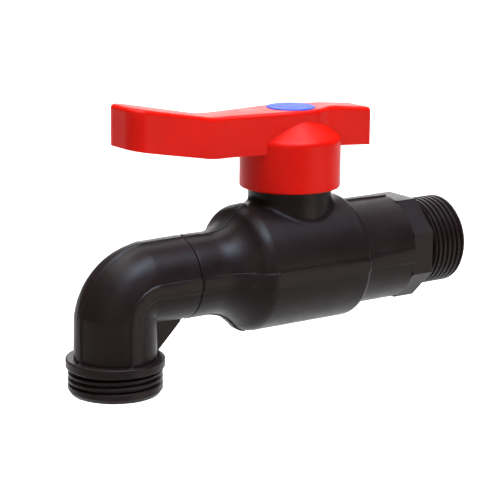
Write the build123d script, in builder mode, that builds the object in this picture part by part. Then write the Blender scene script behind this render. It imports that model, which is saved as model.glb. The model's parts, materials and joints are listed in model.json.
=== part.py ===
import os
from math import asin, cos, hypot, isclose, radians, sin, tan

from build123d import *

os.makedirs("parts", exist_ok=True)

# A three-quarter inch garden ball valve with a turned-down spout.
# X runs along the pipe and out of the inlet, Z is up, and the pipe axis is z = 0.
# The origin lies on the pipe axis where the full inlet thread begins.

# Overall layout
thread_d = 26.44            # major diameter of the pipe thread at both ends
stem_to_inlet = 56.6        # stem axis to the start of the full inlet thread
stem_to_outlet = 59.0       # stem axis to the spout's axis
outlet_drop = 30.0          # pipe axis to the spout's end face
stem_to_joint = 37.6        # stem axis to the seam between body and spout
thread_lead = 1.0           # chamfer at each thread's free end

# Spout elbow
elbow_d = 23.2
elbow_bore_d = 17.0
bend_radius = 7.8           # of the bend's centre line
elbow_oval = 1.0005         # width of the section over its height
collar_d = 27.7
collar_height = 2.7
collar_edge = 0.5
outlet_thread_length = 4.1  # full thread below the collar
outlet_pilot_d = 24.3       # plain end below the thread
outlet_pilot_length = 3.4
pilot_edge = 0.6
gusset_width = 2.6
gusset_setback = 0.5        # from the spout's end face to the gusset's upper end
gusset_toe = 0.9            # height of the gusset at its upper end
seam_gap = 0.35             # open groove between spout and body
seam_round = 0.4            # of the body's edge at the seam
socket_depth = 7.0

# Valve body
drum_d = 36.8
drum_outlet_reach = 16.2    # stem axis to the rounded shoulder
drum_inlet_reach = 16.9     # stem axis to the drum's inlet side
shoulder_slope = 52.0       # steepest angle of the shoulder's S-curve
shoulder_hollow = 10.0      # radius of the S-curve's hollow half
drum_round = 2.2
drum_end_slope = 0.8        # how far the inlet side of the drum leans
pipe_d = 31.3
stem_to_pipe_end = 35.4
neck_d = 24.2
neck_top = 26.4
neck_fillet = 2.4           # where the neck leaves the drum
neck_wall = 2.1
neck_groove_depth = 6.5
waterway_d = 16.0
spigot_d = 19.8
spigot_length = 6.6

# Moulded ribs on the middle plane and flat bands along the sides
rib_width = 2.7
rib_height = 0.45
rib_end_gap = 0.6
pipe_rib_end = 0.3          # from the pipe's end to its top rib
band_width = 4.0
band_height = 0.35

# Inlet connector
octagon_corners = 32.2
octagon_length = 7.8
octagon_edge = 0.6
undercut_length = 2.0
undercut_d = 23.6
inlet_bore_d = 20.0
inlet_land = 2.0            # plain bore behind the inlet seat
inlet_cone = 4.0            # length of the taper up to the inlet bore
connector_ring_back = 5.0   # seal groove, back from the octagon

# Ball, seats and seals
ball_d = 26.0
ball_gap = 0.12             # ball to seat
cavity_gap = 0.4            # ball to cavity wall
seat_contact_r = 9.6
seat_face_r = 11.2
seat_back = 14.5            # ball centre to the back of each seat
seat_gap = 0.15             # seat to cavity wall
seat_bore_gap = 0.2
seal_section = 1.72
seal_slack = 0.06
fit_gap = 0.05              # parts that are welded or pressed together
match_tol = 0.01            # for finding edges and corners by their place

# Stem
stem_d = 11.0
stem_gap = 0.08
collar_stem_d = 14.8
collar_stem_height = 2.7
collar_stem_gap = 0.2
ball_top_gap = 0.3          # ball to stem collar
tang_width = 4.0
tang_length = 9.0
tang_depth = 3.2
tang_gap = 0.1
stem_seal_section = 1.5
stem_seal_heights = (19.4, 23.2)
square_side = 8.0
square_gap = 0.1

# Handle
skirt_bottom = 22.4
skirt_wall = 1.9
skirt_gap = 0.65            # skirt to neck
skirt_edge = 0.5
shoulder_height = 36.7      # where the hub's cone would meet the skirt
cone_slope = 38.0
cone_cover = 2.3            # lever top to the cone's end inside the lever
hub_round = 2.2             # between cone and skirt
hub_core_d = 16.4
hub_gap = 0.6               # hub to neck
hub_roof = 32.0
lever_top = 45.3
lever_bottom = 33.6
lever_rise = 10.6           # degrees, beyond the kink
lever_edge = 1.3            # rounding of the lever's upper edges
stem_to_kink = 30.0
stem_to_tip = 57.4
waist_at = 26.0
waist_width = 9.8
flare_at = 50.0
tip_width = 15.2
tip_round = 4.5
waist_round = 45.0
flare_round = 30.0
kink_round = 24.0
root_width = 15.8           # across the hub
root_half_length = 4.5
root_round = 14.0
heel_round = 4.5            # where the hub turns in to the stub
stub_waist_at = 11.0
stub_waist_width = 9.2
stub_waist_round = 8.0
stub_reach = 25.8
stub_width = 11.2
stub_round = 1.6
stub_drop = 1.4             # fall of the stub's top at its end
stub_sag = 0.7              # fall of its underside
stub_break = 12.5           # where both falls begin
stub_bend = 20.0
lever_wall = 2.1
core_gap = 0.8              # hub skirt to the hollow under the lever
web_thickness = 1.4
web_count = 3
stop_height = 3.0
stop_angle = 90.0
turn_angle = 90.0
stop_gap_angle = 1.0

# Handle screw, washer and cap
recess_d = 14.3
recess_floor = 39.4
washer_d = 11.0
washer_thickness = 1.0
washer_bore_d = 5.2
screw_d = 4.4
screw_length = 13.0
screw_head_d = 8.6
screw_head_height = 3.0
screw_head_round = 1.0
screw_slot = 1.2
screw_slot_length = 5.2
screw_slot_depth = 1.8
cap_gap = 0.08
cap_proud = 0.3
cap_thickness = 1.6
cap_skirt = 3.0
cap_wall = 1.2
cap_edge = 0.4

# Places worked out from the sizes above
stem_x = -stem_to_inlet
outlet_x = stem_x - stem_to_outlet
joint_x = stem_x - stem_to_joint
spout_end_x = joint_x - seam_gap
bend_x = outlet_x + bend_radius
pipe_end_x = stem_x + stem_to_pipe_end
octagon_end_x = pipe_end_x + octagon_length
elbow_r = elbow_d / 2
gusset_x = spout_end_x - gusset_setback
gusset_top = -elbow_r - gusset_toe
gusset_leg = gusset_x - outlet_x - elbow_r
thread_end = -outlet_drop + outlet_pilot_length
collar_bottom = thread_end + outlet_thread_length
collar_top = collar_bottom + collar_height
outlet_lead = (thread_d - outlet_pilot_d) / 2
drum_start_x = stem_x - drum_outlet_reach
drum_end_x = stem_x + drum_inlet_reach
drum_foot_x = drum_end_x + drum_end_slope
cavity_r = ball_d / 2 + cavity_gap
outlet_seat_x = stem_x - seat_back
inlet_seat_x = stem_x + seat_back
stem_base = ball_d / 2 + ball_top_gap
stem_collar_top = stem_base + collar_stem_height
skirt_d = neck_d + 2 * (skirt_gap + skirt_wall)
cone_top = lever_top - cone_cover
cone_r = skirt_d / 2 - (cone_top - shoulder_height) / tan(radians(cone_slope))
hub_bottom = neck_top + hub_gap
stem_top = recess_floor - square_gap
washer_top = recess_floor + washer_thickness
kink_x = stem_x - stem_to_kink
root_x = stem_x - root_half_length
heel_x = stem_x + root_half_length
stub_waist_x = stem_x + stub_waist_at
waist_x = stem_x - waist_at
flare_x = stem_x - flare_at
tip_x = stem_x - stem_to_tip
stub_x = stem_x + stub_reach
connector_ring_x = pipe_end_x - connector_ring_back
connector_ring_r = cavity_r - seal_section / 2 - seal_slack
connector_groove_r = connector_ring_r - seal_section / 2
seat_ring_r = (waterway_d / 2 + seat_bore_gap + cavity_r - seat_gap) / 2
stem_ring_r = (stem_d - stem_seal_section) / 2
stem_groove_r = stem_ring_r - stem_seal_section / 2
stop_span = 360 - stop_angle - turn_angle - 2 * stop_gap_angle
stem_plane = Plane((stem_x, 0, 0), x_dir=(1, 0, 0), z_dir=(0, -1, 0))


def elbow_form(radius):
    # A bar that drops from the collar, turns on the bend radius and runs to the seam.
    # Inside the turn the two straight legs meet in a tight corner.
    with BuildPart() as form:
        with BuildSketch(Plane.XY.offset(-bend_radius)):
            with Locations((outlet_x, 0)):
                Ellipse(radius, radius * elbow_oval)
            with Locations((bend_x, 0)):
                Rectangle(2 * radius, 3 * radius, align=(Align.MIN, Align.CENTER), mode=Mode.SUBTRACT)
        revolve(axis=Axis((bend_x, 0, -bend_radius), (0, 1, 0)), revolution_arc=90)
        with BuildSketch(Plane.XY.offset(-bend_radius)):
            with Locations((outlet_x, 0)):
                Ellipse(radius, radius * elbow_oval)
        extrude(amount=-(outlet_drop - bend_radius))
        with BuildSketch(Plane.YZ.offset(bend_x)):
            Ellipse(radius * elbow_oval, radius)
        extrude(amount=spout_end_x - bend_x)
    return form.part


def body_form(growth):
    # The body's turned shape, from the seam over the shoulder and drum to the end of the pipe.
    tail_r = elbow_r + growth
    drum_r = drum_d / 2 + growth
    pipe_r = pipe_d / 2 + growth
    crown = (drum_r - tail_r) / (1 - cos(radians(shoulder_slope))) - shoulder_hollow
    shoulder_run = (shoulder_hollow + crown) * sin(radians(shoulder_slope))
    shoulder_x = drum_start_x - shoulder_run
    with BuildPart() as form:
        with BuildSketch(Plane.XZ) as section:
            with BuildLine():
                face = Line((joint_x, 0), (joint_x, tail_r))
                tail = Line(face @ 1, (shoulder_x, tail_r))
                hollow = JernArc(tail @ 1, (1, 0), shoulder_hollow, shoulder_slope)
                rise = JernArc(hollow @ 1, hollow % 1, crown, -shoulder_slope)
                Polyline(
                    rise @ 1,
                    (drum_end_x, drum_r),
                    (drum_foot_x, pipe_r),
                    (pipe_end_x, pipe_r),
                    (pipe_end_x, 0),
                    face @ 0,
                )
            make_face()
            for corner, radius in (((drum_end_x, drum_r), drum_round), ((joint_x, tail_r), seam_round)):
                fillet(section.vertices().sort_by_distance(Vector(corner))[0], radius)
        revolve(axis=Axis.X)
    return form.part


def middle_rib(shape, start_x, end_x):
    # The slice of a form that lies on the middle plane
    with BuildPart() as rib:
        add(shape)
        with BuildSketch(Plane.XZ):
            with Locations(((start_x + end_x) / 2, 0)):
                Rectangle(end_x - start_x, 4 * drum_d)
        extrude(amount=rib_width / 2, both=True, mode=Mode.INTERSECT)
    return rib.part


def seal_ring(plane, ring_r, section):
    # A round seal of circular section on the given plane
    with BuildPart() as ring:
        with BuildSketch(Plane(plane.origin, x_dir=plane.x_dir, z_dir=plane.y_dir)):
            with Locations((ring_r, 0)):
                Circle(section / 2)
        revolve(axis=Axis(plane.origin, plane.z_dir))
    return ring.part


def finish(block, name):
    block.part.label = name
    export_step(block.part, f"parts/{name}.step")


# Spout elbow, with its raised middle rib, side bands, gusset, collar and outlet thread
elbow_rib = middle_rib(elbow_form(elbow_r + rib_height), outlet_x - drum_d, spout_end_x)
with BuildPart() as elbow_band:
    add(elbow_form(elbow_r + band_height))
    with BuildSketch(Plane.XZ):
        with BuildLine():
            FilletPolyline((outlet_x, collar_bottom), (outlet_x, 0), (spout_end_x, 0), radius=bend_radius)
        trace(line_width=band_width)
    extrude(amount=drum_d, both=True, mode=Mode.INTERSECT)

with BuildPart() as spout_elbow:
    add(elbow_form(elbow_r))
    add(elbow_rib)
    add(elbow_band.part)
    with BuildSketch(Plane.XZ):
        Polygon(
            (outlet_x, 0),
            (gusset_x, 0),
            (gusset_x, gusset_top),
            (outlet_x + elbow_r, gusset_top - gusset_leg),
            (outlet_x, gusset_top - gusset_leg),
            align=None,
        )
    extrude(amount=gusset_width / 2, both=True)
    with BuildSketch(Plane.XZ) as collar_section:
        with Locations((outlet_x, collar_top)):
            Rectangle(collar_d / 2, collar_height, align=(Align.MIN, Align.MAX))
        fillet(collar_section.vertices().group_by(Axis.X)[-1], collar_edge)
    revolve(axis=Axis((outlet_x, 0, 0), (0, 0, 1)))
    with BuildSketch(Plane((outlet_x, 0, 0), x_dir=(1, 0, 0), z_dir=(0, -1, 0))) as outlet_section:
        with BuildLine():
            Polyline(
                (0, collar_bottom),
                (thread_d / 2, collar_bottom),
                (thread_d / 2, thread_end),
                (outlet_pilot_d / 2, thread_end - outlet_lead),
                (outlet_pilot_d / 2, -outlet_drop),
                (0, -outlet_drop),
                close=True,
            )
        make_face()
        rim = outlet_section.vertices().sort_by_distance(Vector(outlet_pilot_d / 2, -outlet_drop))
        fillet(rim[0], pilot_edge)
    revolve(axis=Axis((outlet_x, 0, 0), (0, 0, 1)))
    add(elbow_form(elbow_bore_d / 2), mode=Mode.SUBTRACT)
    with BuildSketch(Plane.YZ.offset(spout_end_x)):
        Circle(spigot_d / 2 + fit_gap)
    extrude(amount=-socket_depth, mode=Mode.SUBTRACT)
finish(spout_elbow, "spout_elbow")

# Valve body: turned form, ribs and bands, neck, cavity, stem bore and outlet spigot
shoulder_rib = middle_rib(body_form(rib_height), joint_x + rib_end_gap, drum_start_x)
with BuildPart() as pipe_rib:
    add(middle_rib(body_form(rib_height), drum_foot_x - rib_height, pipe_end_x - pipe_rib_end))
    split(bisect_by=Plane.XY, keep=Keep.TOP)
with BuildPart() as body_band:
    add(body_form(band_height))
    with BuildSketch(Plane.XZ):
        with Locations((joint_x + rib_end_gap, 0)):
            Rectangle(pipe_end_x - joint_x, band_width, align=(Align.MIN, Align.CENTER))
    extrude(amount=drum_d, both=True, mode=Mode.INTERSECT)



def meets_neck(edge):
    # True for the curve where the neck's wall runs into the drum
    point = edge @ 0
    off_axis = hypot(point.X - stem_x, point.Y)
    on_wall = isclose(off_axis, neck_d / 2, abs_tol=match_tol)
    return on_wall and 0 < point.Z < neck_top - neck_fillet and edge.geom_type != GeomType.LINE


with BuildPart() as valve_body:
    add(body_form(0))
    with BuildSketch(Plane.XY):
        with Locations((stem_x, 0)):
            Circle(neck_d / 2)
    extrude(amount=neck_top)
    fillet(valve_body.edges().filter_by(meets_neck), neck_fillet)
    add(shoulder_rib)
    add(pipe_rib.part)
    add(body_band.part)
    with BuildSketch(Plane.YZ.offset(joint_x)):
        Circle(spigot_d / 2)
    extrude(amount=-spigot_length)
    with BuildSketch(Plane.YZ.offset(joint_x - spigot_length)):
        Circle(waterway_d / 2)
    extrude(amount=outlet_seat_x - joint_x + spigot_length, mode=Mode.SUBTRACT)
    with BuildSketch(Plane.YZ.offset(outlet_seat_x)):
        Circle(cavity_r)
    extrude(amount=pipe_end_x - outlet_seat_x, mode=Mode.SUBTRACT)
    with BuildSketch(Plane.XY):
        with Locations((stem_x, 0)):
            Circle(collar_stem_d / 2 + collar_stem_gap)
    extrude(amount=stem_collar_top + collar_stem_gap, mode=Mode.SUBTRACT)
    with BuildSketch(Plane.XY):
        with Locations((stem_x, 0)):
            Circle(stem_d / 2 + stem_gap)
    extrude(amount=neck_top, mode=Mode.SUBTRACT)
    with BuildSketch(Plane.XY.offset(neck_top)):
        with Locations((stem_x, 0)):
            Circle(neck_d / 2 - neck_wall)
            Circle(stem_d / 2 + neck_wall, mode=Mode.SUBTRACT)
    extrude(amount=-neck_groove_depth, mode=Mode.SUBTRACT)
    # Quarter ring that stops the handle at both ends of its turn
    with BuildSketch(Plane((stem_x, 0, neck_top))):
        with BuildLine():
            inner = CenterArc((0, 0), neck_d / 2 - neck_wall, 0, stop_angle)
            outer = CenterArc((0, 0), neck_d / 2, 0, stop_angle)
            Line(inner @ 0, outer @ 0)
            Line(inner @ 1, outer @ 1)
        make_face()
    extrude(amount=stop_height)
finish(valve_body, "valve_body")

# Inlet connector: spigot in the body's pipe, octagon for a spanner, undercut and inlet thread
with BuildPart() as inlet_connector:
    with BuildSketch(Plane.YZ.offset(inlet_seat_x)):
        Circle(cavity_r - fit_gap)
    extrude(amount=pipe_end_x - inlet_seat_x)
    with BuildSketch(Plane.YZ.offset(pipe_end_x)):
        RegularPolygon(octagon_corners / 2, 8, rotation=180 / 8)
    extrude(amount=octagon_length)
    chamfer(inlet_connector.faces().sort_by(Axis.X)[-1].edges(), octagon_edge)
    with BuildSketch(Plane.YZ.offset(octagon_end_x)):
        Circle(undercut_d / 2)
    extrude(amount=undercut_length)
    with BuildSketch(Plane.YZ.offset(octagon_end_x + undercut_length)):
        Circle(thread_d / 2)
    extrude(amount=thread_lead - octagon_end_x - undercut_length)
    chamfer(inlet_connector.faces().sort_by(Axis.X)[-1].edges(), thread_lead)
    with BuildSketch(Plane.XZ):
        with BuildLine():
            Polyline(
                (inlet_seat_x, 0),
                (inlet_seat_x, waterway_d / 2 + seat_bore_gap),
                (inlet_seat_x + inlet_land, waterway_d / 2 + seat_bore_gap),
                (inlet_seat_x + inlet_land + inlet_cone, inlet_bore_d / 2),
                (thread_lead, inlet_bore_d / 2),
                (thread_lead, 0),
                close=True,
            )
        make_face()
    revolve(axis=Axis.X, mode=Mode.SUBTRACT)
    with BuildSketch(Plane.YZ.offset(connector_ring_x - seal_section / 2 - seal_slack)):
        Circle(cavity_r + fit_gap)
        Circle(connector_groove_r, mode=Mode.SUBTRACT)
    extrude(amount=seal_section + 2 * seal_slack, mode=Mode.SUBTRACT)
finish(inlet_connector, "inlet_connector")

with BuildPart() as connector_o_ring:
    add(seal_ring(Plane.YZ.offset(connector_ring_x), connector_ring_r, seal_section))
finish(connector_o_ring, "connector_o_ring")

# Ball, bored along the pipe, with a slot across the top for the stem's tang
with BuildPart() as ball:
    with Locations((stem_x, 0, 0)):
        Sphere(ball_d / 2)
    with BuildSketch(Plane.YZ.offset(stem_x)):
        Circle(waterway_d / 2)
    extrude(amount=ball_d, both=True, mode=Mode.SUBTRACT)
    with BuildSketch(Plane.XY.offset(stem_base - tang_depth - tang_gap)):
        with Locations((stem_x, 0)):
            Rectangle(tang_width + 2 * tang_gap, ball_d)
    extrude(amount=ball_d, mode=Mode.SUBTRACT)
finish(ball, "ball")


def seat_ring(side):
    # A ring on one side of the ball, with a cone that touches the sphere and a seal groove behind
    contact = asin(seat_contact_r / (ball_d / 2))
    touch_x = (ball_d / 2 + ball_gap) * cos(contact)
    touch_r = (ball_d / 2 + ball_gap) * sin(contact)
    bore_r = waterway_d / 2 + seat_bore_gap
    bore_x = touch_x + (touch_r - bore_r) * tan(contact)
    face_x = touch_x + (touch_r - seat_face_r) * tan(contact)
    rim_r = cavity_r - seat_gap
    with BuildPart() as ring:
        with BuildSketch(Plane.XZ):
            with BuildLine():
                Polyline(
                    (stem_x + side * bore_x, bore_r),
                    (stem_x + side * face_x, seat_face_r),
                    (stem_x + side * face_x, rim_r),
                    (stem_x + side * seat_back, rim_r),
                    (stem_x + side * seat_back, bore_r),
                    close=True,
                )
            make_face()
            with Locations((stem_x + side * (seat_back - seal_section / 2), seat_ring_r)):
                Rectangle(seal_section + 2 * seal_slack, seal_section + 2 * seal_slack, mode=Mode.SUBTRACT)
        revolve(axis=Axis.X)
    return ring.part


for side, name in ((-1, "outlet_seat"), (1, "inlet_seat")):
    with BuildPart() as seat:
        add(seat_ring(side))
    finish(seat, name)
    with BuildPart() as seat_o_ring:
        ring_x = stem_x + side * (seat_back - seal_section / 2)
        add(seal_ring(Plane.YZ.offset(ring_x), seat_ring_r, seal_section))
    finish(seat_o_ring, f"{name}_o_ring")

# Stem: tang in the ball, collar under the neck, sealed shank and square drive
with BuildPart() as stem:
    with BuildSketch(Plane.XY.offset(stem_base - tang_depth)):
        with Locations((stem_x, 0)):
            Rectangle(tang_width, tang_length)
    extrude(amount=tang_depth)
    with BuildSketch(Plane.XY.offset(stem_base)):
        with Locations((stem_x, 0)):
            Circle(collar_stem_d / 2)
    extrude(amount=collar_stem_height)
    with BuildSketch(Plane.XY.offset(stem_collar_top)):
        with Locations((stem_x, 0)):
            Circle(stem_d / 2)
    extrude(amount=neck_top - stem_collar_top)
    with BuildSketch(Plane.XY.offset(neck_top)):
        with Locations((stem_x, 0)):
            Rectangle(square_side, square_side)
            Circle(stem_d / 2, mode=Mode.INTERSECT)
    extrude(amount=stem_top - neck_top)
    for height in stem_seal_heights:
        with BuildSketch(Plane.XY.offset(height - stem_seal_section / 2 - seal_slack)):
            with Locations((stem_x, 0)):
                Circle(stem_d)
                Circle(stem_groove_r, mode=Mode.SUBTRACT)
        extrude(amount=stem_seal_section + 2 * seal_slack, mode=Mode.SUBTRACT)
    with BuildSketch(Plane.XY.offset(stem_top)):
        with Locations((stem_x, 0)):
            Circle(screw_d / 2 + fit_gap)
    extrude(amount=-screw_length, mode=Mode.SUBTRACT)
finish(stem, "stem")

for height, name in zip(stem_seal_heights, ("stem_o_ring_lower", "stem_o_ring_upper")):
    with BuildPart() as stem_o_ring:
        add(seal_ring(Plane((stem_x, 0, height)), stem_ring_r, stem_seal_section))
    finish(stem_o_ring, name)


def lever_plan(inset):
    # Outline of the lever and stub seen from above, drawn in by the given inset
    with BuildSketch() as plan:
        with BuildLine() as outline:
            FilletPolyline(
                (tip_x, 0),
                (tip_x, tip_width / 2),
                (flare_x, tip_width / 2),
                (waist_x, waist_width / 2),
                (root_x, root_width / 2),
                (heel_x, root_width / 2),
                (stub_waist_x, stub_waist_width / 2),
                (stub_x, stub_width / 2),
                (stub_x, 0),
                radius=[
                    tip_round,
                    flare_round,
                    waist_round,
                    root_round,
                    heel_round,
                    stub_waist_round,
                    stub_round,
                ],
            )
            mirror(outline.line, about=Plane.XZ)
        make_face()
        if inset:
            offset(amount=-inset)
    return plan.sketch


def lever_side(drop):
    # Outline of the lever seen from the front, lowered by the given drop.
    # It runs past both ends, which the plan outline cuts off.
    left_x = tip_x - tip_width
    right_x = stub_x + tip_width
    break_x = stem_x + stub_break
    low = lever_bottom - drop
    high = lever_top - drop
    rise = tan(radians(lever_rise)) * (kink_x - left_x)
    overrun = (right_x - break_x) / (stub_x - break_x)
    with BuildSketch() as side_view:
        Polygon(
            (left_x, low + rise),
            (kink_x, low),
            (break_x, low),
            (right_x, low - stub_sag * overrun),
            (right_x, high - stub_drop * overrun),
            (break_x, high),
            (kink_x, high),
            (left_x, high + rise),
            align=None,
        )
        for x, radius in ((kink_x, kink_round), (break_x, stub_bend)):
            bends = side_view.vertices().filter_by(lambda v: isclose(v.X, x, abs_tol=match_tol))
            fillet(bends, radius)
    return side_view.sketch


# Hollow under the lever and the stub, crossed by thin webs
web_pitch = (stem_to_tip - skirt_d / 2) / (web_count + 1)
with BuildPart() as lever_core:
    with BuildSketch(Plane.XY):
        add(lever_plan(lever_wall))
        with Locations((stem_x, 0)):
            Circle(skirt_d / 2 + core_gap, mode=Mode.SUBTRACT)
        for index in range(web_count):
            with Locations((stem_x - skirt_d / 2 - web_pitch * (index + 1), 0)):
                Rectangle(web_thickness, 2 * tip_width, mode=Mode.SUBTRACT)
    extrude(amount=2 * lever_top)
    with BuildSketch(Plane.XZ.offset(-drum_d)):
        add(lever_side(lever_wall))
    extrude(amount=2 * drum_d, mode=Mode.INTERSECT)

# Handle: lever and stub on a domed hub whose skirt hides the neck
with BuildPart() as handle:
    with BuildSketch(Plane.XY):
        add(lever_plan(0))
    extrude(amount=2 * lever_top)
    with BuildSketch(Plane.XZ.offset(-drum_d)):
        add(lever_side(0))
    extrude(amount=2 * drum_d, mode=Mode.INTERSECT)
    walls = handle.faces().filter_by(lambda face: abs(face.normal_at().Z) < match_tol)
    tops = handle.faces().filter_by(lambda face: face.normal_at().Z > match_tol)
    fillet([edge for edge in walls.edges() if edge in tops.edges()], lever_edge)
    with BuildSketch(stem_plane) as hub_section:
        with BuildLine():
            Polyline(
                (0, skirt_bottom),
                (skirt_d / 2, skirt_bottom),
                (skirt_d / 2, shoulder_height),
                (cone_r, cone_top),
                (0, cone_top),
                close=True,
            )
        make_face()
        for height, radius in ((skirt_bottom, skirt_edge), (shoulder_height, hub_round)):
            rim = hub_section.vertices().sort_by_distance(Vector(skirt_d / 2, height))
            fillet(rim[0], radius)
    revolve(axis=Axis((stem_x, 0, 0), (0, 0, 1)))
    add(lever_core.part, mode=Mode.SUBTRACT)
    with BuildSketch(Plane.XY.offset(skirt_bottom)):
        with Locations((stem_x, 0)):
            Circle(skirt_d / 2 - skirt_wall)
    extrude(amount=hub_bottom - skirt_bottom, mode=Mode.SUBTRACT)
    with BuildSketch(Plane((stem_x, 0, hub_bottom))):
        Circle(skirt_d / 2 - skirt_wall)
        Circle(hub_core_d / 2, mode=Mode.SUBTRACT)
        # The half ring that is left beside the hub meets the neck's quarter ring at each end
        with BuildLine():
            arc = CenterArc((0, 0), skirt_d, -stop_gap_angle, -stop_span)
            Line(arc @ 0, (0, 0))
            Line((0, 0), arc @ 1)
        make_face(mode=Mode.SUBTRACT)
    extrude(amount=hub_roof - hub_bottom, mode=Mode.SUBTRACT)
    with BuildSketch(Plane.XY.offset(hub_bottom)):
        with Locations((stem_x, 0)):
            Rectangle(square_side + 2 * square_gap, square_side + 2 * square_gap)
    extrude(amount=recess_floor - hub_bottom, mode=Mode.SUBTRACT)
    with BuildSketch(Plane.XY.offset(recess_floor)):
        with Locations((stem_x, 0)):
            Circle(recess_d / 2)
    extrude(amount=lever_top, mode=Mode.SUBTRACT)
finish(handle, "handle")

# Screw and washer that hold the handle on the stem's square
with BuildPart() as screw_washer:
    with BuildSketch(Plane.XY.offset(recess_floor)):
        with Locations((stem_x, 0)):
            Circle(washer_d / 2)
            Circle(washer_bore_d / 2, mode=Mode.SUBTRACT)
    extrude(amount=washer_thickness)
finish(screw_washer, "screw_washer")

with BuildPart() as handle_screw:
    with BuildSketch(Plane.XY.offset(washer_top)):
        with Locations((stem_x, 0)):
            Circle(screw_head_d / 2)
    extrude(amount=screw_head_height)
    fillet(handle_screw.faces().sort_by(Axis.Z)[-1].edges(), screw_head_round)
    with BuildSketch(Plane.XY.offset(washer_top)):
        with Locations((stem_x, 0)):
            Circle(screw_d / 2)
    extrude(amount=-(washer_top - stem_top + screw_length - square_gap))
    with BuildSketch(Plane.XY.offset(washer_top + screw_head_height)):
        with Locations((stem_x, 0)):
            Rectangle(screw_slot, screw_slot_length)
            Rectangle(screw_slot_length, screw_slot)
    extrude(amount=-screw_slot_depth, mode=Mode.SUBTRACT)
finish(handle_screw, "handle_screw")

# Cap pressed into the recess over the screw
with BuildPart() as handle_cap:
    with BuildSketch(Plane.XY.offset(lever_top + cap_proud)):
        with Locations((stem_x, 0)):
            Circle(recess_d / 2 - cap_gap)
    extrude(amount=-cap_thickness - cap_skirt)
    fillet(handle_cap.faces().sort_by(Axis.Z)[-1].edges(), cap_edge)
    with BuildSketch(Plane.XY.offset(lever_top + cap_proud - cap_thickness)):
        with Locations((stem_x, 0)):
            Circle(recess_d / 2 - cap_gap - cap_wall)
    extrude(amount=-cap_skirt, mode=Mode.SUBTRACT)
finish(handle_cap, "handle_cap")
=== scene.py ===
import json
import math

import bmesh
import bpy
import numpy as np
from mathutils import Matrix, Vector


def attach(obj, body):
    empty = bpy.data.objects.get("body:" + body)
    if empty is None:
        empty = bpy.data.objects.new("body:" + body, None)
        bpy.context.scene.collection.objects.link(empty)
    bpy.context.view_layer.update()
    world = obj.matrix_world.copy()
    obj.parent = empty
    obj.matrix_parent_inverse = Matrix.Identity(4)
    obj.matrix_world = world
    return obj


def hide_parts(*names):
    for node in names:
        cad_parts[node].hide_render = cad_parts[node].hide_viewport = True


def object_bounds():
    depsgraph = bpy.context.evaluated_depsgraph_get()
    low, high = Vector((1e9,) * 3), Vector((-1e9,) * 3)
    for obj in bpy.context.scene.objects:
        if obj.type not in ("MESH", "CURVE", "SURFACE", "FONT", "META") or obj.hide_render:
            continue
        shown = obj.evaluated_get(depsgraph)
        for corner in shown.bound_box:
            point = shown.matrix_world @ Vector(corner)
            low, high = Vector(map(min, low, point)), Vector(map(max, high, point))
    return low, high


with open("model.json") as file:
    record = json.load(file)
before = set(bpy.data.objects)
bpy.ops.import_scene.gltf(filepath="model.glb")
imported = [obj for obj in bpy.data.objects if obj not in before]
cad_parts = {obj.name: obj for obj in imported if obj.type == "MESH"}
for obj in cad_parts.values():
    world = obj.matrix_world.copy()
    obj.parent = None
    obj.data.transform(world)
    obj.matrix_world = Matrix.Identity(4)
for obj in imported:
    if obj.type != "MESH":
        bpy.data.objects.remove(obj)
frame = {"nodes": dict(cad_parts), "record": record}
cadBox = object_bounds()  # the CAD model's own box, used to set the floor below the part and to aim the lights
mm = 0.001
mounts = {mount["name"]: mount for mount in frame["record"]["mounts"]}
nodes = frame["nodes"]
print("valve loaded:", len(nodes), "nodes")


# Shader helpers

def addNode(tree, kind, **sockets):
    # a node with its sockets set by name, with _ for a space
    node = tree.nodes.new(kind)
    for key, value in sockets.items():
        node.inputs[key.replace("_", " ")].default_value = value
    return node


def clouded(tree, factor, look):
    # the look's dark colour below its first stop, its light colour above the second, blended between
    ramp = tree.nodes.new("ShaderNodeValToRGB")
    for index, shade in enumerate(("dark", "light")):
        ramp.color_ramp.elements[index].position = look["stops"][index]
        ramp.color_ramp.elements[index].color = (*look[shade], 1.0)
    tree.links.new(factor, ramp.inputs["Fac"])
    return ramp.outputs["Color"]


noiseSpan = (0.3, 0.7)  # what a noise value mostly keeps within


def rangeOf(tree, factor, low, high):
    # straight-line map of a noise value onto low..high
    fromLow, fromHigh = noiseSpan
    node = addNode(tree, "ShaderNodeMapRange", From_Min=fromLow, From_Max=fromHigh,
                   To_Min=low, To_Max=high)
    tree.links.new(factor, node.inputs["Value"])
    return node.outputs["Result"]


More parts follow.
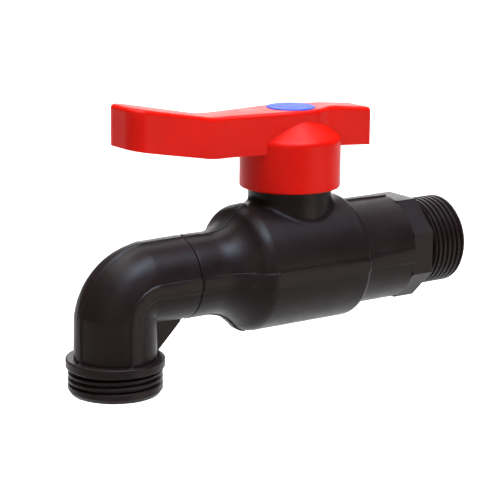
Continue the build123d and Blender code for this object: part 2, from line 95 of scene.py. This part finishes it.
def mouldedPlastic(name, look):
    # moulded plastic: clouded colour, uneven gloss, fine spark-eroded grain over slow sink waves
    material = bpy.data.materials.new(name)
    material.use_nodes = True
    tree = material.node_tree
    shader = tree.nodes["Principled BSDF"]
    coords = tree.nodes.new("ShaderNodeTexCoord").outputs["Object"]

    def noise(kind):
        node = addNode(tree, "ShaderNodeTexNoise", Scale=look[kind + "Scale"],
                       Detail=look[kind + "Detail"], Roughness=look[kind + "Break"])
        tree.links.new(coords, node.inputs["Vector"])
        return node.outputs["Fac"]

    tree.links.new(clouded(tree, noise("cloud"), look), shader.inputs["Base Color"])
    tree.links.new(rangeOf(tree, noise("gloss"), *look["roughness"]), shader.inputs["Roughness"])

    slow = addNode(tree, "ShaderNodeBump", Strength=look["waveStrength"], Distance=look["waveDepth"])
    tree.links.new(noise("wave"), slow.inputs["Height"])
    fine = addNode(tree, "ShaderNodeBump", Strength=look["grainStrength"], Distance=look["grainDepth"])
    tree.links.new(noise("grain"), fine.inputs["Height"])
    tree.links.new(slow.outputs["Normal"], fine.inputs["Normal"])
    tree.links.new(fine.outputs["Normal"], shader.inputs["Normal"])

    shader.inputs["Specular IOR Level"].default_value = look["specular"]
    shader.inputs["Subsurface Weight"].default_value = look["depth"]
    shader.inputs["Subsurface Radius"].default_value = look["depthRadius"]
    shader.inputs["Subsurface Scale"].default_value = look["depthScale"]
    return material


# Break is how strongly each noise's finer octaves show; depth is the share of light that sinks in, and
# depthRadius x depthScale how far it goes in red, green and blue
plasticNoise = dict(stops=(0.35, 0.68), cloudDetail=4.0, cloudBreak=0.55, grainDetail=3.0,
                    grainBreak=0.55, waveDetail=1.0, waveBreak=0.4, glossDetail=5.0, glossBreak=0.55)
blackLook = dict(plasticNoise, dark=(0.0080, 0.0040, 0.0038), light=(0.0120, 0.0064, 0.0062),
                 cloudScale=60.0, grainScale=2600.0, grainStrength=0.35, grainDepth=0.04 * mm,
                 waveScale=70.0, waveStrength=0.25, waveDepth=0.6 * mm,
                 glossScale=240.0, roughness=(0.34, 0.44), specular=0.13,
                 depth=0.0, depthRadius=(0.001, 0.001, 0.001), depthScale=1.0)
redLook = dict(plasticNoise, dark=(0.50, 0.0034, 0.0005), light=(0.58, 0.0050, 0.0009),
               cloudScale=45.0, grainScale=2400.0, grainStrength=0.30, grainDepth=0.04 * mm,
               waveScale=60.0, waveStrength=0.2, waveDepth=0.5 * mm,
               glossScale=220.0, roughness=(0.34, 0.44), specular=0.11,
               depth=0.12, depthRadius=(1.0, 0.25, 0.15), depthScale=1.2 * mm)
blueLook = dict(plasticNoise, dark=(0.016, 0.046, 0.34), light=(0.024, 0.062, 0.42),
                cloudScale=120.0, grainScale=3200.0, grainStrength=0.2, grainDepth=0.03 * mm,
                waveScale=150.0, waveStrength=0.15, waveDepth=0.3 * mm,
                glossScale=300.0, roughness=(0.38, 0.48), specular=0.05,
                depth=0.10, depthRadius=(0.2, 0.35, 1.0), depthScale=1.0 * mm)
seatLook = dict(blackLook, dark=(0.70, 0.69, 0.66), light=(0.80, 0.79, 0.77), roughness=(0.32, 0.44))
ballLook = dict(blackLook, dark=(0.60, 0.59, 0.57), light=(0.70, 0.69, 0.67), roughness=(0.12, 0.22),
                grainStrength=0.08)
stemLook = dict(blackLook, dark=(0.55, 0.53, 0.48), light=(0.64, 0.62, 0.57), roughness=(0.30, 0.42))
rubberLook = dict(blackLook, dark=(0.008, 0.008, 0.008), light=(0.016, 0.016, 0.016),
                  roughness=(0.55, 0.72), grainStrength=0.6)


def platedSteel(name, look):
    # zinc-plated steel: grey metal with fine turned streaks and dull patches
    material = bpy.data.materials.new(name)
    material.use_nodes = True
    tree = material.node_tree
    shader = tree.nodes["Principled BSDF"]
    shader.inputs["Metallic"].default_value = 1.0
    coords = tree.nodes.new("ShaderNodeTexCoord").outputs["Object"]
    patches = addNode(tree, "ShaderNodeTexNoise", Scale=look["patchScale"], Detail=look["patchDetail"])
    streaks = addNode(tree, "ShaderNodeTexNoise", Scale=look["streakScale"], Detail=look["streakDetail"])
    for node in (patches, streaks):
        tree.links.new(coords, node.inputs["Vector"])
    tree.links.new(clouded(tree, patches.outputs["Fac"], look), shader.inputs["Base Color"])
    tree.links.new(rangeOf(tree, patches.outputs["Fac"], *look["roughness"]), shader.inputs["Roughness"])
    bump = addNode(tree, "ShaderNodeBump", Strength=look["streakStrength"], Distance=look["streakDepth"])
    tree.links.new(streaks.outputs["Fac"], bump.inputs["Height"])
    tree.links.new(bump.outputs["Normal"], shader.inputs["Normal"])
    return material


steelLook = dict(dark=(0.50, 0.50, 0.49), light=(0.66, 0.66, 0.64), stops=(0.3, 0.7),
                 roughness=(0.25, 0.40), patchScale=400.0, patchDetail=4.0,
                 streakScale=3000.0, streakDetail=2.0, streakStrength=0.3, streakDepth=0.03 * mm)
finishes = {
    "body_plastic": mouldedPlastic("black_moulded_plastic", blackLook),
    "handle_plastic": mouldedPlastic("red_moulded_plastic", redLook),
    "cap_plastic": mouldedPlastic("blue_cap_plastic", blueLook),
    "seat_plastic": mouldedPlastic("white_seat_plastic", seatLook),
    "ball_plastic": mouldedPlastic("pale_ball_plastic", ballLook),
    "stem_plastic": mouldedPlastic("cream_stem_plastic", stemLook),
    "seal_rubber": mouldedPlastic("black_seal_rubber", rubberLook),
    "screw_steel": platedSteel("plated_screw_steel", steelLook),
}
print("finishes made:", len(finishes))


# Every CAD node takes the finish of its record slot

slotOfNode = {part["node"]: part["material_slot"] for part in frame["record"]["subparts"]}


def dress(piece, slot):
    # one finish on every face of the piece
    piece.data.materials.clear()
    piece.data.materials.append(finishes[slot])


for nodeName, slotName in slotOfNode.items():
    dress(nodes[nodeName], slotName)


# Threads

# Shares are of the pitch, and startTurn is of a full turn
threadForm = dict(pitch=1.814 * mm, flankShare=0.28, runOut=0.30, slack=0.02 * mm,
                  samplesPerPitch=28, samplesRound=240)
outletThread = dict(threadForm, rootDrop=1.0 * mm, crestShare=0.32, runOn=2.0 * mm, plainEnd=1.3 * mm,
                    lead=1.2 * mm, leadDrop=0.8 * mm, startTurn=0.62)
inletThread = dict(threadForm, rootDrop=0.8 * mm, crestShare=0.38, runOn=0.0 * mm, plainEnd=0.4 * mm,
                   lead=1.0 * mm, leadDrop=1.0 * mm, startTurn=0.0)


def mountAxes(mount):
    # the mount's point and axis with two square directions that make a right-handed set with the axis
    axis = np.array(mount["axis"], float)
    side = np.array([0.0, 1.0, 0.0])
    return np.array(mount["pos_m"], float), axis, side, np.cross(axis, side)


def gridFaces(rows, columns):
    # quads of a grid that closes on itself round each row
    row, column = np.meshgrid(np.arange(rows - 1), np.arange(columns), indexing="ij")
    nextColumn = (column + 1) % columns
    corners = (row * columns + column, row * columns + nextColumn,
               (row + 1) * columns + nextColumn, (row + 1) * columns + column)
    return np.stack(corners, axis=-1).reshape(-1, 4)


def makePiece(name, points, faces, body, slot):
    # a mesh object at the origin from an array of points and an array of quads
    mesh = bpy.data.meshes.new(name)
    mesh.from_pydata(points.tolist(), [], faces.tolist())
    mesh.update()
    mesh.shade_smooth()
    piece = bpy.data.objects.new(name, mesh)
    bpy.context.scene.collection.objects.link(piece)
    dress(piece, slot)
    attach(piece, body)


def smoothStep(share):
    # eases from 0 to 1 as the share goes from 0 to 1
    share = np.clip(share, 0.0, 1.0)
    return share * share * (3 - 2 * share)


def threadSleeve(name, mount, form, slot):
    # radius = root + depth x crest(along / pitch - turn) x fade, at most the lead cone's radius;
    # the crest is a flat top with two eased flanks, full all round the plain end, and both ends
    # tuck in under the root
    origin, axis, side, across = mountAxes(mount)
    crestRadius = mount["dims"]["r_mm"] * mm
    rootRadius = crestRadius - form["rootDrop"]
    start, fullEnd = -mount["dims"]["length_mm"] * mm, form["runOn"]
    end = fullEnd + form["lead"]
    count = int((end - start) / form["pitch"] * form["samplesPerPitch"])
    along = np.linspace(start, end, count)[:, None]
    angle = np.linspace(0.0, 2 * math.pi, form["samplesRound"], endpoint=False)[None, :]
    phase = (along / form["pitch"] - angle / (2 * math.pi) + form["startTurn"]) % 1.0
    fromMiddle = np.abs(phase - 0.5)
    crest = smoothStep((form["crestShare"] / 2 + form["flankShare"] - fromMiddle) / form["flankShare"])
    plain = smoothStep((along - fullEnd + form["plainEnd"]) / (form["flankShare"] * form["pitch"]) + 1.0)
    fade = np.clip((along - start) / (form["runOut"] * form["pitch"]), 0.0, 1.0)
    radius = rootRadius + form["rootDrop"] * np.maximum(crest, plain) * fade
    cone = crestRadius - form["leadDrop"] * (along - fullEnd) / form["lead"]
    radius = np.minimum(radius, cone)
    radius[0] = radius[-1] = rootRadius - form["rootDrop"] / 2
    ring = np.cos(angle)[..., None] * side + np.sin(angle)[..., None] * across
    points = origin + along[..., None] * axis + radius[..., None] * ring
    makePiece(name, points.reshape(-1, 3), gridFaces(count, form["samplesRound"]), "body", slot)


def drawnIn(points, mount, form):
    # radius = a little under the root, on the plain cylinder and lead where the thread sleeve goes
    origin, axis = mountAxes(mount)[:2]
    offset = points - origin
    along = offset @ axis
    radial = offset - along[:, None] * axis
    radius = np.linalg.norm(radial, axis=1)
    crestRadius = mount["dims"]["r_mm"] * mm
    rootRadius = crestRadius - form["rootDrop"]
    start = -mount["dims"]["length_mm"] * mm
    slack = form["slack"]
    inThread = (along > start - slack) & (radius < crestRadius + slack) & (radius > rootRadius)
    share = np.where(inThread, (rootRadius - 2 * slack) / np.maximum(radius, slack), 1.0)
    return origin + along[:, None] * axis + radial * share[:, None]


# Outside of the spout's bend

bendEase = dict(cadRadius=7.8 * mm, radius=11.3 * mm, blend=6.0 * mm)  # radii of the centre line


def easedBend(points, mount, form):
    # the outer half of the bend moves along rays from the wider bend's centre, until each point lies
    # as far outside the wider centre line as it lay outside the CAD's own
    x, z = points[:, 0] - mount["pos_m"][0], points[:, 2]
    tight, wide = form["cadRadius"], form["radius"]
    turning = np.hypot(tight - x, z + tight) - tight
    outward = np.where(z < -tight, -x, np.where(x > tight, z, turning))
    run, rise = wide - x, z + wide
    share = smoothStep(outward / form["blend"]) * ((run > 0) & (rise > 0))
    scale = 1 + share * ((wide + outward) / np.hypot(run, rise) - 1)
    moved = points.copy()
    moved[:, 0] += run * (1 - scale)
    moved[:, 2] += rise * (scale - 1)
    return moved


# Body's shoulder, between the spout and the drum

# reach: stem axis to the drum's end; span: length reshaped; tail: least radius of the plain skin;
# hollow: radius of the arc on the spout's side; skin: depth under the plain skin that still moves;
# ribClear: how near to a diagonal the plain skin is measured, as a share of its radius
shoulderEase = dict(reach=16.0 * mm, span=17.0 * mm, tail=11.0 * mm, hollow=13.0 * mm, slope=51.2,
                    skin=0.3 * mm, bandRise=0.35 * mm, ribRise=0.45 * mm, snap=0.12 * mm,
                    ribClear=1 / 3, rows=44)
stemJoint = frame["record"]["behaviour"]["joints"][0]
shoulderEnd = stemJoint["pos_m"][0] - shoulderEase["reach"]


def plainProfile(points, form):
    # the plain skin's radius against its place along the pipe, from points between ribs and bands
    along = points[:, 0] - shoulderEnd
    radius = np.hypot(points[:, 1], points[:, 2])
    diagonal = np.abs(np.abs(points[:, 1]) - np.abs(points[:, 2])) < radius * form["ribClear"]
    plain = diagonal & (along > -form["span"]) & (along < 0) & (radius > form["tail"])
    order = np.argsort(along[plain])
    return along[plain][order], radius[plain][order]


def slimShoulder(points, profile, form):
    # radius = S-curve + rise over the plain skin; the S-curve is a hollow arc and a crown arc that
    # meet at the slope, and a rise close to the plain skin's, a band's or a rib's becomes just that
    along = points[:, 0] - shoulderEnd
    radius = np.hypot(points[:, 1], points[:, 2])
    own = np.interp(along, *profile)
    tail, drum = profile[1].min(), profile[1].max()
    slope, hollow = math.radians(form["slope"]), form["hollow"]
    crown = (drum - tail) / (1 - math.cos(slope)) - hollow
    start = -(hollow + crown) * math.sin(slope)
    meet = -crown * math.sin(slope)
    low = tail + hollow - np.sqrt(hollow ** 2 - np.clip(along - start, 0.0, meet - start) ** 2)
    high = drum - crown + np.sqrt(crown ** 2 - np.clip(along, meet, 0.0) ** 2)
    curve = np.where(along < meet, low, high)
    raised = np.where(np.abs(points[:, 1]) > np.abs(points[:, 2]), form["bandRise"], form["ribRise"])
    rise = radius - own
    rise = np.where(np.abs(rise - raised) < form["snap"], raised, rise)
    rise = np.where(np.abs(rise) < form["snap"], 0.0, rise)
    onSkin = (np.abs(along + form["span"] / 2) < form["span"] / 2) & (radius > own - form["skin"])
    share = np.where(onSkin, (curve + rise) / np.maximum(radius, form["skin"]), 1.0)
    return points * np.column_stack([np.ones_like(share), share, share])


# Mouldings that take the place of their nodes

# weld and cutSlack: how near counts as touching; sharpAngle: degrees past which an edge stays sharp
copyMesh = dict(weld=0.0001 * mm, cutSlack=0.001 * mm, sharpAngle=20.0)


def meshPoints(mesh):
    # the mesh's corners as rows of x, y, z
    points = np.empty(len(mesh.vertices) * 3)
    mesh.vertices.foreach_get("co", points)
    return points.reshape(-1, 3)


def editMesh(data, edit):
    # passes the mesh through an edit and puts the result back
    mesh = bmesh.new()
    mesh.from_mesh(data)
    edit(mesh)
    mesh.to_mesh(data)
    mesh.free()


def weld(mesh):
    # joins the loose triangles at their shared corners
    bmesh.ops.remove_doubles(mesh, verts=mesh.verts, dist=copyMesh["weld"])


def cutRows(mesh, rows):
    # cuts the faces across the pipe at each row, so that they can follow a curve along it
    for row in rows:
        whole = mesh.verts[:] + mesh.edges[:] + mesh.faces[:]
        bmesh.ops.bisect_plane(mesh, geom=whole, dist=copyMesh["cutSlack"],
                               plane_co=(row, 0.0, 0.0), plane_no=(1.0, 0.0, 0.0))
    bmesh.ops.triangulate(mesh, faces=mesh.faces[:])


def mouldedCopy(nodeName, reshape, rows=()):
    # the node's own mesh and sharp edges, welded, cut at the rows and passed through the reshape
    piece = nodes[nodeName].copy()
    piece.data = nodes[nodeName].data.copy()
    piece.name = piece.data.name = nodeName + "_moulding"
    bpy.context.scene.collection.objects.link(piece)
    editMesh(piece.data, weld)
    piece.data.shade_smooth()
    piece.data.set_sharp_from_angle(angle=math.radians(copyMesh["sharpAngle"]))
    editMesh(piece.data, lambda mesh: cutRows(mesh, rows))
    piece.data.vertices.foreach_set("co", reshape(meshPoints(piece.data)).ravel())
    piece.data.update()
    piece.modifiers.new("flat_faces_flat", "WEIGHTED_NORMAL").keep_sharp = True
    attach(piece, "body")
    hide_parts(nodeName)


outlet, inlet = mounts["outlet_thread"], mounts["inlet_thread"]
bodySkin = plainProfile(meshPoints(nodes["valve_body"].data), shoulderEase)
shoulderRows = np.linspace(shoulderEnd - shoulderEase["span"], shoulderEnd, shoulderEase["rows"])
mouldedCopy("spout_elbow",
            lambda points: easedBend(drawnIn(points, outlet, outletThread), outlet, bendEase))
mouldedCopy("inlet_connector", lambda points: drawnIn(points, inlet, inletThread))
mouldedCopy("valve_body", lambda points: slimShoulder(points, bodySkin, shoulderEase), shoulderRows)
print("mouldings shaped")
threadSleeve("outlet_thread_turns", outlet, outletThread, slotOfNode["spout_elbow"])
threadSleeve("inlet_thread_turns", inlet, inletThread, slotOfNode["inlet_connector"])
print("threads cut")


# Floor, light and camera

# Metres here, in the boxes below too
stage = dict(floorDrop=0.90, floorSize=240.0, floorColour=(0.64, 0.64, 0.64), floorRoughness=0.9,
             floorSpecular=0.1, worldStrength=0.09, worldColour=(1.0, 0.985, 0.97))


def makeFloor(look):
    # a flat square, set well below the part so that the part floats clear of its own shadow
    half = look["floorSize"] / 2
    corners = np.array([(-half, -half), (half, -half), (half, half), (-half, half)])
    points = np.column_stack([corners, np.full(4, cadBox[0].z - look["floorDrop"])])
    mesh = bpy.data.meshes.new("floor")
    mesh.from_pydata(points.tolist(), [], [(0, 1, 2, 3)])
    floor = bpy.data.objects.new("floor", mesh)
    bpy.context.scene.collection.objects.link(floor)
    material = bpy.data.materials.new("pale_floor")
    material.use_nodes = True
    shader = material.node_tree.nodes["Principled BSDF"]
    shader.inputs["Base Color"].default_value = (*look["floorColour"], 1.0)
    shader.inputs["Roughness"].default_value = look["floorRoughness"]
    shader.inputs["Specular IOR Level"].default_value = look["floorSpecular"]
    floor.data.materials.append(material)


def aimAt(origin, target):
    # rotation whose -Z looks from origin to target
    return (Vector(target) - Vector(origin)).to_track_quat("-Z", "Y").to_euler()


def softBox(name, place, target, size, watts, colour, spread):
    # rectangular area light that faces its target, its beam held within the spread
    data = bpy.data.lights.new(name, "AREA")
    data.shape = "RECTANGLE"
    data.size, data.size_y = size
    data.energy = watts
    data.color = colour
    data.spread = math.radians(spread)
    lamp = bpy.data.objects.new(name, data)
    lamp.location = place
    lamp.rotation_euler = aimAt(place, target)
    bpy.context.scene.collection.objects.link(lamp)


makeFloor(stage)
world = bpy.data.worlds.new("studio")
world.use_nodes = True
world.node_tree.nodes["Background"].inputs["Color"].default_value = (*stage["worldColour"], 1.0)
world.node_tree.nodes["Background"].inputs["Strength"].default_value = stage["worldStrength"]
bpy.context.scene.world = world

# Boxes that light the part itself
partBoxes = {
    "sky_box": dict(place=(-0.02, -0.44, 1.00), size=(1.3, 0.45), watts=4.6,
                    colour=(0.64, 0.79, 1.0), spread=60.0),
    "front_box": dict(place=(-1.05, -0.85, 0.42), size=(1.4, 1.0), watts=0.70,
                      colour=(1.0, 0.92, 0.84), spread=70.0),
    "right_low_box": dict(place=(0.35, -0.80, -0.15), size=(0.5, 0.5), watts=0.30,
                          colour=(1.0, 0.86, 0.78), spread=70.0),
    "back_box": dict(place=(1.15, 1.65, 0.62), size=(1.6, 0.8), watts=6.0,
                     colour=(1.0, 1.0, 1.0), spread=120.0),
}
centre = (cadBox[0] + cadBox[1]) / 2
for boxName, box in partBoxes.items():
    softBox(boxName, target=centre, **box)

# Wide boxes that look straight down on the floor round the part, brightest on the side the camera faces
floorBoxes = dict(distance=7.3, height=2.6, size=(11.0, 11.0), firstTurn=55.0, colour=(1.0, 1.0, 1.0),
                  watts=(1050.0, 480.0, 420.0, 480.0), spread=(100.0, 60.0, 60.0, 60.0))
for index, (watts, spread) in enumerate(zip(floorBoxes["watts"], floorBoxes["spread"])):
    turn = math.radians(floorBoxes["firstTurn"] + 360.0 / len(floorBoxes["watts"]) * index)
    place = Vector((math.cos(turn), math.sin(turn), 0.0)) * floorBoxes["distance"]
    place.z = floorBoxes["height"]
    floorPoint = (place.x, place.y, 0.0)
    softBox(f"floor_box_{index}", place, floorPoint, floorBoxes["size"], watts,
            floorBoxes["colour"], spread)
print("studio lit")

# target and distance in mm, angles in degrees, the focal length in pixels of the photo's frame
view = dict(target=(-70.38, 0.0, 4.77), azimuth=-35.0, elevation=13.3, roll=0.6, distance=519.0,
            focalPixels=1800.0, framePixels=500.0, sensor=36.0)


def makeCamera(look):
    # the camera stands back from its target along the view angles, then leans by the roll
    turn, rise, lean = (math.radians(look[key]) for key in ("azimuth", "elevation", "roll"))
    back = Vector((math.sin(turn) * math.cos(rise), -math.cos(turn) * math.cos(rise), math.sin(rise)))
    right = Vector((math.cos(turn), math.sin(turn), 0.0))
    up = back.cross(right)
    leanRight = math.cos(lean) * right + math.sin(lean) * up
    leanUp = -math.sin(lean) * right + math.cos(lean) * up
    data = bpy.data.cameras.new("photo_view")
    data.sensor_width = look["sensor"]
    data.lens = look["focalPixels"] / look["framePixels"] * look["sensor"]
    camera = bpy.data.objects.new("photo_view", data)
    camera.matrix_world = Matrix((
        (leanRight.x, leanUp.x, back.x, 0.0), (leanRight.y, leanUp.y, back.y, 0.0),
        (leanRight.z, leanUp.z, back.z, 0.0), (0.0, 0.0, 0.0, 1.0)))
    camera.location = (Vector(look["target"]) + back * look["distance"]) * mm
    bpy.context.scene.collection.objects.link(camera)
    bpy.context.scene.camera = camera


makeCamera(view)
bpy.context.scene.view_settings.view_transform = "Standard"
print("camera set")
